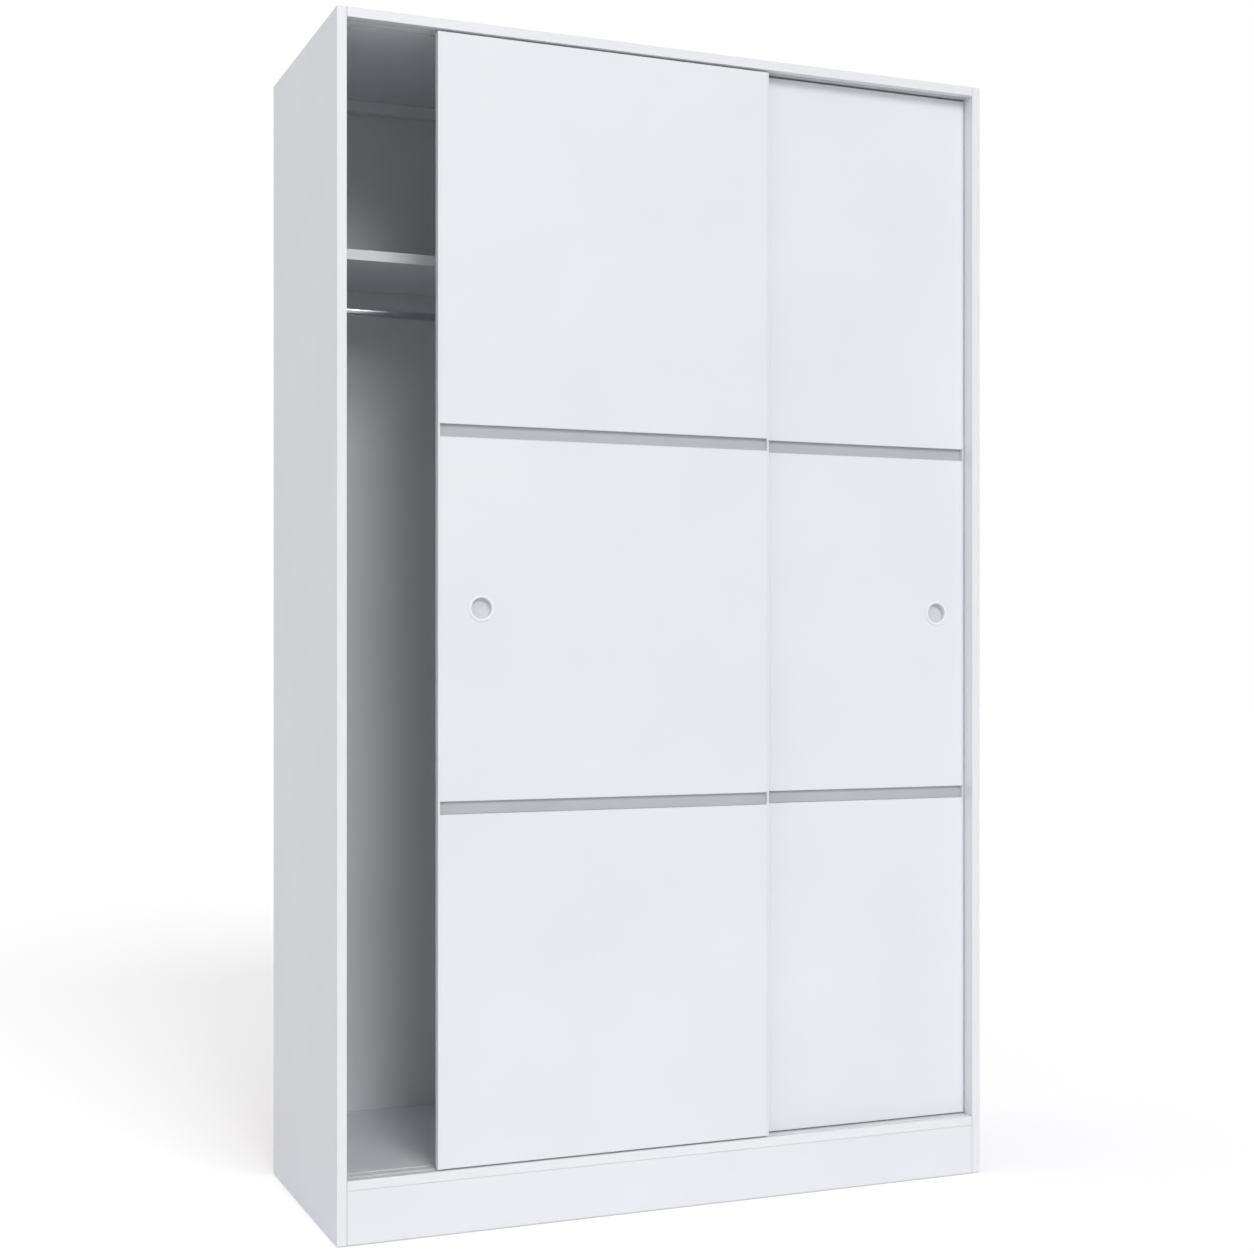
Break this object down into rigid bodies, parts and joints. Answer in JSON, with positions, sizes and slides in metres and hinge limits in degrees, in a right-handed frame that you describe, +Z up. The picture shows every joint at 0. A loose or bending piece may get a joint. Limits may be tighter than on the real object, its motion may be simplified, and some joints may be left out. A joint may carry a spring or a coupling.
{
  "type": "sliding door wardrobe",
  "caption": "White two-door sliding wardrobe on a plinth, with panelled doors, round finger pulls, a shelf over a hanging rail, and doors that roll in flush tracks.",
  "frame": {"origin": "on the floor, under the middle of the cabinet's width and depth", "axes": "+Z up, the doors face -Y, and +X is to the right of someone who faces the doors"},
  "size_m": [1.2, 0.5, 2],
  "materials": {
    "melamine_board": "white melamine, satin",
    "edge_trim": "white ABS, satin",
    "hardboard": "white lacquered hardboard",
    "grey_plastic": "light grey, satin",
    "track_plastic": "white, satin",
    "pull_plastic": "white moulded ABS, semi-gloss",
    "nylon": "natural white nylon",
    "chromed_steel": "polished chrome",
    "zinc_plated_steel": "zinc plated"
  },
  "bodies": {
    "cabinet": {"back_joining_strip": "track_plastic", "back_panel_left": "hardboard", "back_panel_right": "hardboard", "bottom_panel": "melamine_board", "bottom_track_front": "track_plastic", "bottom_track_rear": "track_plastic", "front_plinth": "melamine_board", "glide_left_front": "nylon", "glide_left_rear": "nylon", "glide_right_front": "nylon", "glide_right_rear": "nylon", "hanging_rail": "chromed_steel", "left_side_panel": "melamine_board", "plinth_crosspiece": "melamine_board", "rail_socket_left": "chromed_steel", "rail_socket_right": "chromed_steel", "rear_plinth": "melamine_board", "rear_top_batten": "melamine_board", "right_side_panel": "melamine_board", "shelf": "melamine_board", "shelf_pin_left_front": "zinc_plated_steel", "shelf_pin_left_rear": "zinc_plated_steel", "shelf_pin_right_front": "zinc_plated_steel", "shelf_pin_right_rear": "zinc_plated_steel", "top_panel": "melamine_board", "top_track_front": "track_plastic", "top_track_rear": "track_plastic", "wall_fixing_bracket": "zinc_plated_steel"},
    "front_door": {"front_door_finger_pull": "pull_plastic", "front_door_left_axle": "zinc_plated_steel", "front_door_left_edge": "edge_trim", "front_door_left_roller_housing": "nylon", "front_door_left_top_guide": "nylon", "front_door_lower_panel": "melamine_board", "front_door_lower_strip": "grey_plastic", "front_door_middle_panel": "melamine_board", "front_door_right_axle": "zinc_plated_steel", "front_door_right_edge": "edge_trim", "front_door_right_roller_housing": "nylon", "front_door_right_top_guide": "nylon", "front_door_upper_panel": "melamine_board", "front_door_upper_strip": "grey_plastic"},
    "rear_door": {"rear_door_finger_pull": "pull_plastic", "rear_door_left_axle": "zinc_plated_steel", "rear_door_left_edge": "edge_trim", "rear_door_left_roller_housing": "nylon", "rear_door_left_top_guide": "nylon", "rear_door_lower_panel": "melamine_board", "rear_door_lower_strip": "grey_plastic", "rear_door_middle_panel": "melamine_board", "rear_door_right_axle": "zinc_plated_steel", "rear_door_right_edge": "edge_trim", "rear_door_right_roller_housing": "nylon", "rear_door_right_top_guide": "nylon", "rear_door_upper_panel": "melamine_board", "rear_door_upper_strip": "grey_plastic"},
    "front_door_left_wheel": {"front_door_left_wheel": "nylon"},
    "front_door_right_wheel": {"front_door_right_wheel": "nylon"},
    "rear_door_left_wheel": {"rear_door_left_wheel": "nylon"},
    "rear_door_right_wheel": {"rear_door_right_wheel": "nylon"}
  },
  "joints": [
    {"name": "front_door_slide", "type": "slide", "parent": "cabinet", "child": "front_door", "axis": [1, 0, 0], "range_m": [-0.1515, 0.4125]},
    {"name": "rear_door_slide", "type": "slide", "parent": "cabinet", "child": "rear_door", "axis": [1, 0, 0], "range_m": [-0.564, 0]},
    {"name": "front_door_left_wheel_spin", "type": "hinge", "parent": "front_door", "child": "front_door_left_wheel", "pos_m": [-0.3715, -0.2307, 0.1135], "axis": [0, 1, 0], "continuous": true},
    {"name": "front_door_right_wheel_spin", "type": "hinge", "parent": "front_door", "child": "front_door_right_wheel", "pos_m": [0.1105, -0.2307, 0.1135], "axis": [0, 1, 0], "continuous": true},
    {"name": "rear_door_left_wheel_spin", "type": "hinge", "parent": "rear_door", "child": "rear_door_left_wheel", "pos_m": [0.041, -0.2047, 0.1135], "axis": [0, 1, 0], "continuous": true},
    {"name": "rear_door_right_wheel_spin", "type": "hinge", "parent": "rear_door", "child": "rear_door_right_wheel", "pos_m": [0.523, -0.2047, 0.1135], "axis": [0, 1, 0], "continuous": true}
  ],
  "couplings": [
    {"joint": "front_door_left_wheel_spin", "follows": "front_door_slide", "rad_per_m": 83.333},
    {"joint": "front_door_right_wheel_spin", "follows": "front_door_slide", "rad_per_m": 83.333},
    {"joint": "rear_door_left_wheel_spin", "follows": "rear_door_slide", "rad_per_m": 83.333},
    {"joint": "rear_door_right_wheel_spin", "follows": "rear_door_slide", "rad_per_m": 83.333}
  ]
}
